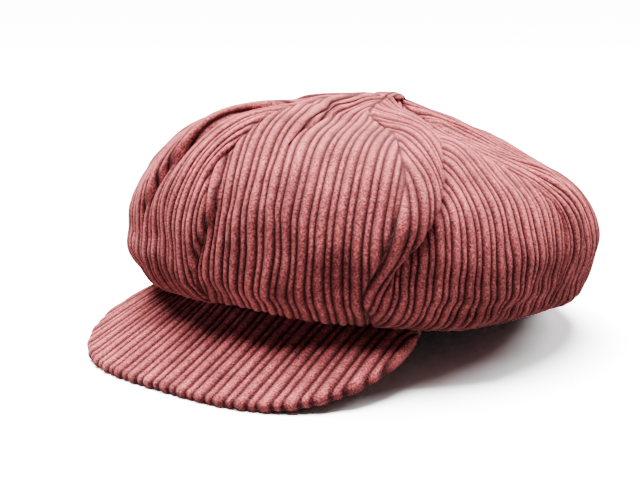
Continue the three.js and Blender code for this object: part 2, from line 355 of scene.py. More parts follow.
def rest_on_things(points, t):
    """Holds the underside above the brim and the table."""
    x, y = points[..., 0], points[..., 1]
    from_front = np.abs(np.arctan2(x / HEAD_X, -y / HEAD_Y)) / math.radians(BRIM_HALF_ANGLE)
    held = (1 - smooth(from_front, 1.08, 1.3)) * (t > WIDEST)
    on_brim = brim_height(x, y) + BRIM_HALF_THICK + CROWN_CLEARANCE
    lifted = np.maximum(points[..., 2], on_brim)
    points[..., 2] += held * (lifted - points[..., 2])
    points[..., 2] = np.maximum(points[..., 2], SOFT_TABLE_GAP)
    return points


def crown_surface(angle, t, wrinkles=None):
    """The crown's soft shape without its wales, for grids whose columns go round and rows go down."""
    points = crown_base(angle, t)
    normals = -grid_normals(points)
    around = np.gradient(points, axis=0)
    around /= np.maximum(np.linalg.norm(around, axis=-1, keepdims=True), 1e-9)
    out, aside = fold_offsets(angle, t, points)
    points = points + normals * out[..., None] + around * aside[..., None]
    if wrinkles is not None:
        points = points + sampled(wrinkles, angle, t)
    return rest_on_things(points, t)


def whole_crown(columns, rows, surface):
    """A surface over the whole cap, its last column next to its first, with a column to spare at each side
    while it is worked out."""
    angle = np.arange(-1, columns + 1) * 360 / columns
    t = np.linspace(APEX, 1, rows)
    angle_grid, t_grid = np.meshgrid(angle, t, indexing="ij")
    return surface(angle_grid, t_grid)[1:-1], angle_grid[1:-1], t_grid[1:-1]


# ---- how the slack cloth settles ----

SETTLE_COLUMNS = 144
SETTLE_ROWS = 42
SETTLE_FRAMES = 24
SLACK = 0.05                      # the cloth is this much larger than the shape it hangs over
WRINKLE_LIMIT = 2.0
WRINKLE_SPREAD = 4.0              # the settled shape's slow part, in grid steps, is left out


def cubic_weights(share):
    """Four weights of a smooth curve through even steps, for a point at this share of the middle step."""
    a, b, c = share, share ** 2, share ** 3
    return [(-c + 2 * b - a) / 2, (3 * c - 5 * b + 2) / 2, (-3 * c + 4 * b + a) / 2, (c - b) / 2]


def sampled(field, angle, t):
    """The value of a whole-cap grid at any angles and t."""
    columns, rows = field.shape[:2]
    u = np.mod(angle, 360) / 360 * columns
    v = np.clip((t - APEX) / (1 - APEX), 0, 1) * (rows - 1)
    i, j = np.floor(u).astype(int), np.minimum(np.floor(v).astype(int), rows - 2)
    total = 0
    for di, wi in zip((-1, 0, 1, 2), cubic_weights(u - i)):
        for dj, wj in zip((-1, 0, 1, 2), cubic_weights(v - j)):
            part = field[np.mod(i + di, columns), np.clip(j + dj, 0, rows - 1)]
            total = total + part * (wi * wj)[..., None]
    return total


def settled_wrinkles():
    """Runs Blender's cloth on a coarse copy of the crown, held at the button and at the sweatband, and gives
    the wrinkles that its slack makes, as millimetres on a whole-cap grid."""
    start, _, t = whole_crown(SETTLE_COLUMNS, SETTLE_ROWS, crown_surface)
    index = np.arange(start[..., 0].size).reshape(SETTLE_COLUMNS, SETTLE_ROWS)
    beside = np.roll(index, -1, axis=0)
    quads = np.stack([index[:, :-1], beside[:, :-1], beside[:, 1:], index[:, 1:]], -1).reshape(-1, 4)
    copy = make_mesh("settling_crown", start.reshape(-1, 3), [quads])
    held = copy.vertex_groups.new(name="held")
    share = np.maximum(1 - smooth(t, 0.04, 0.10), smooth(t, 0.80, 0.92)).ravel()
    for vertex, weight in enumerate(share):
        held.add([vertex], float(weight), "REPLACE")
    cloth = copy.modifiers.new("cloth", "CLOTH")
    cloth.settings.quality = 6
    cloth.settings.mass = 0.2
    cloth.settings.tension_stiffness = 14
    cloth.settings.compression_stiffness = 14
    cloth.settings.shear_stiffness = 5
    cloth.settings.bending_stiffness = 0.35
    cloth.settings.vertex_group_mass = "held"
    cloth.settings.shrink_min = -SLACK
    cloth.settings.effector_weights.gravity = 0.5
    cloth.collision_settings.use_collision = False
    cloth.point_cache.frame_start = 1
    cloth.point_cache.frame_end = SETTLE_FRAMES
    for step in range(1, SETTLE_FRAMES + 1):
        bpy.context.scene.frame_set(step)
    settled = copy.evaluated_get(bpy.context.evaluated_depsgraph_get()).to_mesh()
    points = np.empty(start.size)
    settled.vertices.foreach_get("co", points)
    bpy.data.objects.remove(copy)
    bpy.context.scene.frame_set(1)
    moved = points.reshape(start.shape) / MM - np.array([0, SHIFT_Y, 0]) - start
    wrinkles = blurred(moved - blurred(moved, WRINKLE_SPREAD), 0.9)
    size = np.linalg.norm(wrinkles, axis=-1, keepdims=True)
    return wrinkles * np.tanh(size / WRINKLE_LIMIT) * WRINKLE_LIMIT / np.maximum(size, 1e-6)


# ---- meshes from grids ----


def grid_faces(columns, rows, start=0, flip=False):
    """Quads of a grid whose points are numbered from start, row by row down each column."""
    i, j = np.meshgrid(np.arange(columns - 1), np.arange(rows - 1), indexing="ij")
    corner = start + i * rows + j
    quads = np.stack([corner, corner + 1, corner + rows + 1, corner + rows], -1).reshape(-1, 4)
    return quads[:, ::-1] if flip else quads


def shell(face, back, step):
    """Points and faces of a closed sheet: a fine face grid, a coarse back grid of every step-th column and
    row, and walls that join their edges. Column and row counts are one more than multiples of step."""
    columns, rows = face.shape[:2]
    back = back[::step, ::step]
    back_columns, back_rows = back.shape[:2]
    start = columns * rows
    quads = [grid_faces(columns, rows, flip=True), grid_faces(back_columns, back_rows, start)]
    face_index = np.arange(start).reshape(columns, rows)
    back_index = start + np.arange(back_columns * back_rows).reshape(back_columns, back_rows)
    triangles = []
    edges = [
        (face_index[0], back_index[0], False),
        (face_index[-1], back_index[-1], True),
        (face_index[:, 0], back_index[:, 0], True),
        (face_index[:, -1], back_index[:, -1], False),
    ]
    for fine, coarse, flip in edges:
        for k in range(len(coarse) - 1):
            fan = [(fine[k * step + m], fine[k * step + m + 1], coarse[k]) for m in range(step)]
            fan.append((fine[(k + 1) * step], coarse[k + 1], coarse[k]))
            triangles += [f[::-1] for f in fan] if flip else fan
    points = np.concatenate([face.reshape(-1, 3), back.reshape(-1, 3)])
    return points, quads, np.array(triangles)


def make_mesh(name, points, face_sets, uv=None, painted_wale_shade=None):
    """A smooth-shaded object from numpy arrays, in metres in the row frame."""
    mesh = bpy.data.meshes.new(name)
    sizes = [len(f[0]) for f in face_sets for _ in range(len(f))]
    flat = np.concatenate([np.asarray(f).ravel() for f in face_sets])
    mesh.vertices.add(len(points))
    mesh.vertices.foreach_set("co", place(points).astype(np.float32).ravel())
    mesh.loops.add(len(flat))
    mesh.loops.foreach_set("vertex_index", flat.astype(np.int32))
    mesh.polygons.add(len(sizes))
    starts = np.concatenate([[0], np.cumsum(sizes)[:-1]])
    mesh.polygons.foreach_set("loop_start", starts.astype(np.int32))
    mesh.update(calc_edges=True)
    mesh.polygons.foreach_set("use_smooth", np.ones(len(sizes), bool))
    if uv is not None:
        layer = mesh.uv_layers.new(name="cloth")
        layer.data.foreach_set("uv", uv[flat].astype(np.float32).ravel())
    # a value for each point that sets the corduroy's painted groove shade
    if painted_wale_shade is not None:
        attribute = mesh.attributes.new("painted_wale_shade", "FLOAT", "POINT")
        attribute.data.foreach_set("value", painted_wale_shade.astype(np.float32))
    mesh.validate()
    mesh.update()
    piece = bpy.data.objects.new(name, mesh)
    bpy.context.collection.objects.link(piece)
    return piece


def cloth_piece(name, soft, across, along, normals, thickness, step, pair,
                edge=None, face_out=True, pile=1.0):
    """A corduroy sheet: soft is its grid without wales, across and along its cloth coordinates in mm.
    edge is 1 in the middle of the sheet and falls to 0 at its seams, where the pile is pressed down and
    darkened with more of the painted groove shade; pile scales the wales' height."""
    height, rise = wale(across, pair)
    height = height * pile
    if edge is not None:
        height = height * edge
        # pressed pile at seams and stitching takes more of the painted groove shade
        rise = rise * (0.35 + 0.65 * edge)
    face = soft + normals * height[..., None]
    back = soft - normals * thickness
    points, quads, triangles = shell(face, back, step)
    points[:, 2] = np.maximum(points[:, 2], TABLE_GAP)
    coarse = (slice(None, None, step), slice(None, None, step))
    uv = np.stack([across, along], -1) * MM
    uv = np.concatenate([uv.reshape(-1, 2), uv[coarse].reshape(-1, 2)])
    # the painted groove shade: the wale's rise on the face, and a fixed low value, as dark as the grooves, on
    # the back
    painted_wale_shade = np.concatenate([rise.ravel(), np.full(across[coarse].size, 0.15)])
    if not face_out:
        quads = [q[:, ::-1] for q in quads]
        triangles = triangles[:, ::-1]
    return make_mesh(name, points, quads + [triangles], uv, painted_wale_shade)


# ---- crown panels ----

PANEL_COLUMNS = 305
PANEL_ROWS = 209
BACK_STEP = 8
SEAM_DIP = 0.9                    # how far the cloth sinks at a seam
SEAM_WIDTH = 1.3
CORDUROY_THICK = 0.9              # without its pile
FOLD_TAKE = 0.75                  # how much of a fold's extra width shifts the wales beside it
WALE_STRAY = 0.35                 # how far the wales wander from parallel lines
PANEL_CUT_SHIFT = 3.1             # each panel is cut this much further across the wales


def squashes_with_crown(piece):
    """Gives the piece its own copy of its mesh."""
    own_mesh(piece)


def sheet_size(soft):
    """A grid's size as flat cloth, in metres: its widest line across, its last line down, and its area."""
    width = arc_lengths(soft, 0)[-1].max()
    length = arc_lengths(soft, 1)[:, -1].max()
    across = np.diff(soft, axis=0)[:, :-1]
    along = np.diff(soft, axis=1)[:-1]
    area = np.linalg.norm(np.cross(across, along), axis=-1).sum()
    return (width * MM, length * MM), float(area) * MM * MM


def evened(grid):
    """Smooths a panel's grid along its length, so that a wale doesn't swerve at every wrinkle it crosses."""
    window = np.hanning(85) / np.hanning(85).sum()
    padded = np.pad(grid, ((0, 0), (42, 42)), mode="edge")
    return np.stack([np.convolve(column, window, "valid") for column in padded])


def crown_panel(index, wrinkles):
    """One panel: its wales run parallel to its middle, so they meet the next panel's in chevrons."""
    t = np.linspace(APEX, 1, PANEL_ROWS)
    share = np.arange(-1, PANEL_COLUMNS + 1)[:, None] / (PANEL_COLUMNS - 1)
    first, last = seam_angle(index, t), seam_angle(index + 1, t)
    angle = first + (last - first) * share
    t = np.broadcast_to(t, angle.shape)
    soft = crown_surface(angle, t, wrinkles)
    normals = -grid_normals(soft)
    soft, normals, angle, t = soft[1:-1], normals[1:-1], angle[1:-1], t[1:-1]
    width = arc_lengths(soft, 0)
    calm = arc_lengths(crown_base(angle, t), 0)
    stretched = calm + FOLD_TAKE * evened(width - calm)
    centre = (index + 0.5) * PANEL_ANGLE
    middle = [np.interp(centre, angle[:, row], stretched[:, row]) for row in range(PANEL_ROWS)]
    across = stretched - np.array(middle) + index * PANEL_CUT_SHIFT
    across = across + WALE_STRAY * ripples(angle, t, 40 + index, (8, 24), (0.5, 2.2))
    along = arc_lengths(soft, 1)
    to_seam = np.minimum(width, width[-1:] - width)
    # lower at the seams: the pile is pressed down there and darker with painted groove shade
    edge = 0.35 + 0.65 * smooth(to_seam, 0.0, SEAM_WIDTH)
    dip = SEAM_DIP * np.exp(-(to_seam / SEAM_WIDTH) ** 2) * smooth(t, 0.02, 0.12)
    soft = soft - normals * dip[..., None]
    name = f"crown_panel_{index + 1}"
    piece = cloth_piece(f"{name}_cloth", soft, across, along, normals, CORDUROY_THICK, BACK_STEP,
                        WALE_PAIR, edge)
    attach(piece, "cap")
    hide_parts(name)
    squashes_with_crown(piece)
    return piece


# ---- brim ----

BRIM_COLUMNS = 401
BRIM_TOP_ROWS = 104
BRIM_WRAP_ROWS = 25
BRIM_UNDER_ROWS = 65


def signed_power(value, exponent):
    """A power that keeps the value's sign."""
    return np.sign(value) * np.abs(value) ** exponent


def brim_plan(u, w):
    """u from -1 to 1 across, w from 0 at the opening's edge to 1 at the brim's edge."""
    angle = u * math.radians(BRIM_HALF_ANGLE)
    root = np.stack([HEAD_X * np.sin(angle), -HEAD_Y * np.cos(angle)], -1)
    end_y = -HEAD_Y * math.cos(math.radians(BRIM_HALF_ANGLE))
    turn = u * math.pi / 2
    exponent = 2 / BRIM_SQUARENESS
    edge_x = BRIM_HALF_WIDTH * signed_power(np.sin(turn), exponent)
    edge_y = end_y + (-end_y - HEAD_Y - BRIM_DEPTH) * np.abs(np.cos(turn)) ** exponent
    edge = np.stack([edge_x, edge_y], -1)
    full = np.linalg.norm(edge - root, axis=-1)
    closing = np.abs(u) ** 14
    width = full + (BRIM_END_WIDTH - full) * closing
    return root + (edge - root) * (w * width / full)[..., None]


def brim_point(u, w, offset=0.0):
    """A point offset above the brim's middle layer."""
    plan = brim_plan(u, w)
    z = brim_height(plan[..., 0], plan[..., 1]) + offset
    return np.concatenate([plan, z[..., None]], -1)


def brim_across(points):
    """Cloth coordinate across the brim's wales, which spread a little towards its edge."""
    forward = -points[..., 1] - HEAD_Y
    return points[..., 0] / (1 + BRIM_FAN * np.maximum(forward + 20, 0))


def brim_columns():
    """Columns that are even along the brim's edge, whatever the outline's formula does."""
    u = np.linspace(-1, 1, 4001)
    edge = brim_point(u, np.ones_like(u))
    length = np.concatenate([[0], np.cumsum(np.linalg.norm(np.diff(edge, axis=0), axis=1))])
    return np.interp(np.linspace(0, length[-1], BRIM_COLUMNS), length, u)


def bends_with_brim(piece):
    """Bakes the piece's placement into its mesh."""
    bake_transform(piece)


def finish_brim_cover(piece, node):
    """What both covers share: they are stretched over the board; their CAD part is hidden and their placement
    baked into the mesh.
    """
    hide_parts(node)
    bends_with_brim(piece)


def brim_top():
    """The upper cover, with one row of stitching near its root, wrapped round the brim's edge."""
    u = brim_columns()
    w = np.linspace(0, 1, BRIM_TOP_ROWS)
    u_grid, w_grid = np.meshgrid(u, w, indexing="ij")
    top = brim_point(u_grid, w_grid, BRIM_HALF_THICK)
    edge = brim_point(u, np.ones_like(u))
    inner = brim_point(u, np.full_like(u, 0.9))
    tangent = np.gradient(edge, axis=0)
    out = np.stack([tangent[:, 1], -tangent[:, 0]], -1)
    out *= np.sign((out * (edge - inner)[:, :2]).sum(-1, keepdims=True))
    out /= np.linalg.norm(out, axis=-1, keepdims=True)
    out = np.concatenate([out, np.zeros((len(u), 1))], -1)
    turn = np.linspace(0, math.pi, BRIM_WRAP_ROWS + 1)[1:]
    wrap = (edge[:, None] + out[:, None] * (BRIM_HALF_THICK * np.sin(turn))[None, :, None]
            + np.array([0, 0, 1]) * (BRIM_HALF_THICK * np.cos(turn))[None, :, None])
    soft = np.concatenate([top, wrap], 1)
    normals = -grid_normals(soft)
    across = brim_across(soft)
    along = -soft[..., 1]
    # the stitching row presses the pile down, which also darkens it with painted groove shade
    stitch = 1 - 0.55 * hump(w, 0.13, 0.012)
    stitched = np.concatenate([np.broadcast_to(stitch, top.shape[:2]), np.ones(wrap.shape[:2])], 1)
    piece = cloth_piece("brim_top_cloth", soft, across, along, normals, 0.7, BACK_STEP, BRIM_WALE_PAIR,
                        stitched, pile=0.75)
    finish_brim_cover(piece, "brim_top_cover")
    return piece


def brim_under():
    """The lower cover, which stops at the wrapped edge of the upper one."""
    u = brim_columns()
    w = np.linspace(0, 0.975, BRIM_UNDER_ROWS)
    u_grid, w_grid = np.meshgrid(u, w, indexing="ij")
    soft = brim_point(u_grid, w_grid, -BRIM_HALF_THICK + 0.4)
    normals = grid_normals(soft)
    piece = cloth_piece("brim_under_cloth", soft, brim_across(soft), -soft[..., 1], normals, 0.5,
                        BACK_STEP, BRIM_WALE_PAIR, face_out=False, pile=0.5)
    finish_brim_cover(piece, "brim_under_cover")
    return piece


def brim_board():
    """The stiffener between the two covers, thinned towards its edge."""
    u = brim_columns()[::4]
    w = np.linspace(0.02, 0.975, 41)
    u_grid, w_grid = np.meshgrid(u, w, indexing="ij")
    half = 0.8 * (1 - 0.6 * smooth(w_grid, 0.9, 0.98))
    face = brim_point(u_grid, w_grid, 0.0) + half[..., None] * np.array([0, 0, 1])
    back = face - 2 * half[..., None] * np.array([0, 0, 1])
    piece = plain_sheet("brim_board_stiffener", face, back)
    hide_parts("brim_board")
    bends_with_brim(piece)
    return piece


# ---- lining, sweatband and button ----

LINING_GAP = 6.0
LINING_THICK = 0.4
LINING_COLUMNS = 49
LINING_ROWS = 73
BAND_THICK = 1.5
BAND_HEIGHT = 32.0
BAND_LEAN = 4.0
ELASTIC_HALF_ANGLE = 24.0
ELASTIC_HEIGHT = 18.0
STITCH = 2.6
STITCH_GAP = 0.9
STITCH_RADIUS = 0.3


def lining_surface(angle, t):
    """Inside the crown, below its deepest folds, with the puckers of a lining cut a little too wide."""
    base = rest_on_things(crown_base(angle, t), t)
    normals = -grid_normals(base)
    out, _ = fold_offsets(angle, t, base)
    depth = blurred(np.minimum(out, 0.0), 3.0) * 1.15 - LINING_GAP
    pucker = 0.7 * ripples(angle, t, 77, (14, 34), (0.5, 2.0)) * smooth(t, 0.02, 0.1)
    return base + normals * (depth + pucker)[..., None]


def ring_faces(index):
    """Quads round a tube whose point numbers run along it, then round it, on the last two axes."""
    beside = np.roll(index, -1, axis=-1)
    quads = [index[..., :-1, :], index[..., 1:, :], beside[..., 1:, :], beside[..., :-1, :]]
    return np.stack(quads, -1).reshape(-1, 4)


def plain_sheet(name, face, back, painted_wale_shade=0.5, inward=False):
    """A closed sheet between two equal grids, with its cloth coordinates in metres as UVs."""
    points, quads, triangles = shell(face, back, 1)
    if inward:
        quads = [q[:, ::-1] for q in quads]
        triangles = triangles[:, ::-1]
    uv = np.stack([arc_lengths(face, 0), arc_lengths(face, 1)], -1).reshape(-1, 2) * MM
    # every point gets the same painted groove shade value, which only the corduroy's colour reads
    return make_mesh(name, points, quads + [triangles], np.concatenate([uv, uv]), np.full(len(points), painted_wale_shade))


def lining_panels():
    """Eight panels of one lining surface, cut where the crown's even seams are."""
    columns = PANELS * (LINING_COLUMNS - 1)
    whole, _, _ = whole_crown(columns, LINING_ROWS, lining_surface)
    normals = -grid_normals(np.concatenate([whole[-1:], whole, whole[:1]]))[1:-1]
    pieces = []
    for index in range(PANELS):
        cut = np.arange(index * (LINING_COLUMNS - 1), (index + 1) * (LINING_COLUMNS - 1) + 1) % columns
        face, out = whole[cut], normals[cut]
        name = f"lining_panel_{index + 1}"
        piece = plain_sheet(f"{name}_cloth", face + out * LINING_THICK, face)
        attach(piece, "cap")
        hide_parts(name)
        squashes_with_crown(piece)
        pieces.append(piece)
    return pieces


def opening_point(angle, inset, rise):
    """A point above the opening's edge: angle in degrees, inset and rise in millimetres."""
    turn = np.radians(angle)
    lean = BAND_LEAN * rise / BAND_HEIGHT
    x = (HEAD_X - inset - lean) * np.cos(turn)
    y = (HEAD_Y - inset - lean) * np.sin(turn)
    return np.stack([x, y, OPENING_Z - OPENING_TILT * np.sin(turn) + rise], -1)


def strip(name, first, last, inset, thick, low, high, columns, wave):
    """A band round the inside of the opening; wave gives millimetres inwards at an angle and height share."""
    angle, share = np.meshgrid(np.linspace(first, last, columns), np.linspace(0, 1, 25), indexing="ij")
    rise = low + (high - low) * share
    round_edge = thick / 2 * (1 - np.sqrt(np.maximum(1 - np.abs(2 * share - 1) ** 8, 0)))
    push = wave(angle, share)
    face = opening_point(angle, inset + round_edge + push, rise)
    back = opening_point(angle, inset + thick - round_edge + push, rise)
    piece = plain_sheet(name, face, back)
    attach(piece, "cap")
    return piece, sheet_size(face)


def stitches(name, body, points, out):
    """A row of thread stitches along a line of points, lying on the side that out points to."""
    length = np.concatenate([[0], np.cumsum(np.linalg.norm(np.diff(points, axis=0), axis=1))])
    starts = np.arange(0, length[-1] - STITCH, STITCH + STITCH_GAP)
    rings = np.array([0.0, 0.12, 0.35, 0.65, 0.88, 1.0])
    girth = np.array([0.15, 0.8, 1.0, 1.0, 0.8, 0.15])
    sunk = np.array([-0.9, -0.1, 0.25, 0.25, -0.1, -0.9])
    along = starts[:, None] + rings * STITCH
    centre = np.stack([np.interp(along, length, points[:, i]) for i in range(3)], -1)
    away = np.stack([np.interp(along, length, out[:, i]) for i in range(3)], -1)
    away /= np.linalg.norm(away, axis=-1, keepdims=True)
    ahead = np.gradient(centre, axis=1)
    ahead /= np.linalg.norm(ahead, axis=-1, keepdims=True)
    side = np.cross(ahead, away)
    centre = centre + away * (sunk * STITCH_RADIUS)[:, None]
    turn = np.arange(6) * math.pi / 3
    ring = (away[:, :, None] * np.cos(turn)[:, None] + side[:, :, None] * np.sin(turn)[:, None])
    verts = centre[:, :, None] + ring * (STITCH_RADIUS * girth)[:, None, None]
    count = len(starts)
    index = np.arange(count * 36).reshape(count, 6, 6)
    ends = np.concatenate([index[:, 0, :], index[:, -1, ::-1]])
    piece = make_mesh(name, verts.reshape(-1, 3), [ring_faces(index)[:, ::-1], ends[:, ::-1]])
    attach(piece, body)
    return piece


def sweatband():
    """The inside band with its two rows of stitching, gathered at the back by an elastic."""
    def wave(angle, share):
        behind = smooth(-np.abs(turn_between(angle, 90)), -ELASTIC_HALF_ANGLE, -ELASTIC_HALF_ANGLE + 6)
        gathers = 0.35 * behind * np.sin(np.radians(angle) * 90)
        return 0.25 * ripples(angle, share, 5, (6, 22), (0.2, 1.0)) + gathers

    band, (flat, area) = strip(
        "sweatband_cloth", 90.3, 449.7, BAND_INSET, BAND_THICK, 0, BAND_HEIGHT, 721, wave)
    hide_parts("sweatband")
    rows = []
    for label, rise in (("low", 3.0), ("high", BAND_HEIGHT - 3.0)):
        angle = np.linspace(91, 449, 1441)
        inner = opening_point(angle, BAND_INSET + BAND_THICK + wave(angle, rise / BAND_HEIGHT), rise)
        inside = -np.stack([np.cos(np.radians(angle)), np.sin(np.radians(angle)), 0 * angle], -1)
        row = stitches(f"sweatband_stitching_{label}", "cap", inner, inside)
        rows.append(row)
    return band, rows


def elastic_and_tab():
    """The ribbed elastic behind the band at the back, and the blank size tab sewn in front of it."""
    low = (BAND_HEIGHT - ELASTIC_HEIGHT) / 2
    elastic, (flat, area) = strip(
        "back_elastic_ribbed", 90 - ELASTIC_HALF_ANGLE, 90 + ELASTIC_HALF_ANGLE, BAND_INSET - 1.5, 0.8,
        low, low + ELASTIC_HEIGHT, 241, lambda angle, share: 0.16 * np.sin(np.radians(angle) * 300))
    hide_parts("back_elastic")
    tab, (flat, area) = strip(
        "size_tab_woven", 82, 98, BAND_INSET + BAND_THICK + 0.55, 0.5, 6, 20, 41,
        lambda angle, share: 0.5 * (1 - share) * np.cos(np.radians(angle - 90) * 9) ** 2 - 0.25)
    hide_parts("size_tab")
    return elastic, tab


def covered_button():
    """A flattened button in the same corduroy, its edge puckered where the cloth is gathered under it."""
    low, high = (np.array(corner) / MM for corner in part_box("button_cover"))
    radius = (high[0] - low[0]) / 2
    turn = np.radians(np.arange(0, 361, 2.5))
    profile = [(0.02, 1.0), (0.3, 0.98), (0.55, 0.92), (0.75, 0.82), (0.9, 0.64), (0.985, 0.42),
               (1.0, 0.24), (0.95, 0.08), (0.82, 0.0), (0.6, -0.02)]
    share = np.linspace(0, len(profile) - 1, 55)
    reach = np.interp(share, range(len(profile)), [p[0] for p in profile])
    lift = np.interp(share, range(len(profile)), [p[1] for p in profile])
    turn, reach = np.meshgrid(turn, reach, indexing="ij")
    coarse = 0.55 * np.sin(turn * 13 + 1.3 * np.sin(turn * 3))
    fine = 0.35 * np.sin(turn * 29)
    across = radius * reach + smooth(share, 3, 8) * (coarse + fine)
    x = across * np.cos(turn)
    y = across * np.sin(turn)
    height = (high[2] - low[2]) * 0.8
    z = low[2] - 0.6 + height * lift - 0.05 * x + 0.25 * np.sin(turn * 2 + 1) * reach
    soft = np.stack([x, y + BUTTON_Y, z], -1)
    normals = -grid_normals(soft)
    pile, rise = wale(x + 2.0, WALE_PAIR)
    face = soft + normals * (0.45 * pile)[..., None]
    back = soft - normals * 0.7
    piece = plain_sheet("button_cover_cloth", face, back, inward=True)
    # the button's painted groove shade follows its wales on the face and is darkest on its back
    attribute = piece.data.attributes["painted_wale_shade"]
    attribute.data.foreach_set("value", np.concatenate([rise.ravel(), 0 * rise.ravel()]).astype(np.float32))
    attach(piece, "button")
    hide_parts("button_cover")
    return piece


def button_back():
    """The pressed steel plate under the button's cloth, with the wire shank that holds it to the crown."""
    low, _ = (np.array(corner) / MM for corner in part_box("button_cover"))
    profile = np.array([(0.05, 1.5), (3.0, 1.45), (5.6, 1.0), (6.2, 0.5), (6.1, 0.2), (5.2, 0.5), (3.4, 0.7),
                        (1.4, 0.5), (1.1, -0.4), (1.1, -3.4), (0.8, -3.9), (0.05, -4.0)])
    turn = np.radians(np.arange(0, 360, 7.5))
    radius, lift = profile[:, 0], profile[:, 1]
    x = np.outer(np.cos(turn), radius)
    y = np.outer(np.sin(turn), radius) + BUTTON_Y
    z = np.broadcast_to(low[2] + lift, x.shape)
    points = np.stack([x, y, z], -1)
    index = np.arange(x.size).reshape(x.shape)
    ends = np.stack([index[:, 0], index[::-1, -1]])
    piece = make_mesh("button_plate_and_shank", points.reshape(-1, 3), [ring_faces(index.T), ends])
    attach(piece, "button")
    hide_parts("button_shell", "button_shank")
    return piece


# ---- materials ----


class Nodes:
    """A short way to write a node tree."""

    def __init__(self, name, settings):
        self.material = bpy.data.materials.new(name)
        self.material.use_nodes = True
        self.tree = self.material.node_tree
        self.tree.nodes.clear()
        self.shader = self.add("ShaderNodeBsdfPrincipled")
        for socket, value in settings.items():
            self.shader.inputs[socket].default_value = value
        out = self.add("ShaderNodeOutputMaterial")
        self.link(self.shader, "BSDF", out, "Surface")
        self.place = self.add("ShaderNodeTexCoord")

    def add(self, kind, **settings):
        node = self.tree.nodes.new(kind)
        for key, value in settings.items():
            if key in node.inputs:
                node.inputs[key].default_value = value
            else:
                setattr(node, key, value)
        return node

    def link(self, a, a_socket, b, b_socket):
        self.tree.links.new(a.outputs[a_socket], b.inputs[b_socket])

    def noise(self, source, socket, scale, detail=2.0, roughness=0.5):
        node = self.add("ShaderNodeTexNoise", Scale=scale, Detail=detail, Roughness=roughness)
        self.link(source, socket, node, "Vector")
        return node

    def ramp(self, source, socket, stops):
        node = self.add("ShaderNodeValToRGB")
        elements = node.color_ramp.elements
        while len(elements) < len(stops):
            elements.new(0.5)
        for element, (position, color) in zip(elements, stops):
            element.position = position
            element.color = (*color, 1)
        self.link(source, socket, node, "Fac")
        return node

    def wear(self, scale, stops):
        """Broad uneven patches, as a ramp."""
        return self.ramp(self.noise(self.place, "Object", scale, 3.0, 0.6), "Fac", stops)

    def relief(self, source, socket, strength, distance):
        bump = self.add("ShaderNodeBump", Strength=strength, Distance=distance)
        self.link(source, socket, bump, "Height")
        self.link(bump, "Normal", self.shader, "Normal")

    def mix(self, kind, factor, a, b):
        """a and b are (node, socket) pairs or colours."""
        node = self.add("ShaderNodeMix", data_type="RGBA", blend_type=kind)
        if isinstance(factor, tuple):
            self.tree.links.new(factor[0].outputs[factor[1]], node.inputs[0])
        else:
            node.inputs[0].default_value = factor
        for index, value in ((6, a), (7, b)):
            if len(value) == 2:
                self.tree.links.new(value[0].outputs[value[1]], node.inputs[index])
            else:
                node.inputs[index].default_value = (*value, 1)
        return node


def corduroy_material():
    """Cut pile, tufted: painted shade darkens it down into the grooves between the wales, so it is palest
    along their tops.
    """
    nodes = Nodes("corduroy_cloth", {
        "Roughness": 0.95, "Specular IOR Level": 0.08, "Sheen Weight": 0.28, "Sheen Roughness": 0.35,
        "Sheen Tint": (1.0, 0.38, 0.36, 1)})
    painted_wale_shade = nodes.add("ShaderNodeAttribute", attribute_name="painted_wale_shade")
    # the wale's rise picks the colour: the cloth's red on the tops, painted shade down to near black in the
    # grooves
    tops = nodes.ramp(painted_wale_shade, "Fac", [(0.0, (0.008, 0.0012, 0.0018)), (0.5, (0.055, 0.009, 0.011)),
                                   (0.82, (0.19, 0.037, 0.040)), (1.0, (0.31, 0.064, 0.067))])
    tuft = nodes.noise(nodes.place, "Object", 950, 3.0, 0.7)
    tufts = nodes.ramp(tuft, "Fac", [(0.32, (0.18, 0.14, 0.14)), (0.50, (0.9, 0.88, 0.88)),
                                     (0.68, (2.2, 2.35, 2.35))])
    speckled = nodes.mix("MULTIPLY", 0.9, (tops, "Color"), (tufts, "Color"))
    worn = nodes.wear(45, [(0.34, (0.62, 0.58, 0.58)), (0.66, (1.34, 1.40, 1.40))])
    final = nodes.mix("MULTIPLY", 0.9, (speckled, 2), (worn, "Color"))
    nodes.link(final, 2, nodes.shader, "Base Color")
    nodes.relief(tuft, "Fac", 1.0, 0.0012)
    return nodes.material


def woven_material(name, dark, light, pitch, slope, roughness=0.85, sheen=0.15):
    """Yarns in two shades from the cloth's own coordinates: slope leans them over as in twill."""
    nodes = Nodes(name, {"Roughness": roughness, "Specular IOR Level": 0.25, "Sheen Weight": sheen})
    cloth = nodes.add("ShaderNodeUVMap", uv_map="cloth")
    turned = nodes.add("ShaderNodeMapping")
    turned.inputs["Rotation"].default_value = (0, 0, slope)
    turned.inputs["Scale"].default_value = (1 / pitch, 1 / pitch, 1)
    nodes.link(cloth, "UV", turned, "Vector")
    yarns = nodes.add("ShaderNodeTexWave", Scale=0.314, Distortion=0.4, Detail=1.0)
    nodes.link(turned, "Vector", yarns, "Vector")
    fibres = nodes.noise(turned, "Vector", 2.6, 3.0, 0.7)
    lifted = nodes.mix("MIX", 0.35, (yarns, "Color"), (fibres, "Color"))
    shades = nodes.ramp(lifted, 2, [(0.15, dark), (0.8, light)])
    worn = nodes.wear(30, [(0.3, (0.82, 0.82, 0.82)), (0.7, (1.15, 1.15, 1.15))])
    final = nodes.mix("MULTIPLY", 1.0, (shades, "Color"), (worn, "Color"))
    nodes.link(final, 2, nodes.shader, "Base Color")
    nodes.relief(lifted, 2, 0.6, 0.0004)
    return nodes.material


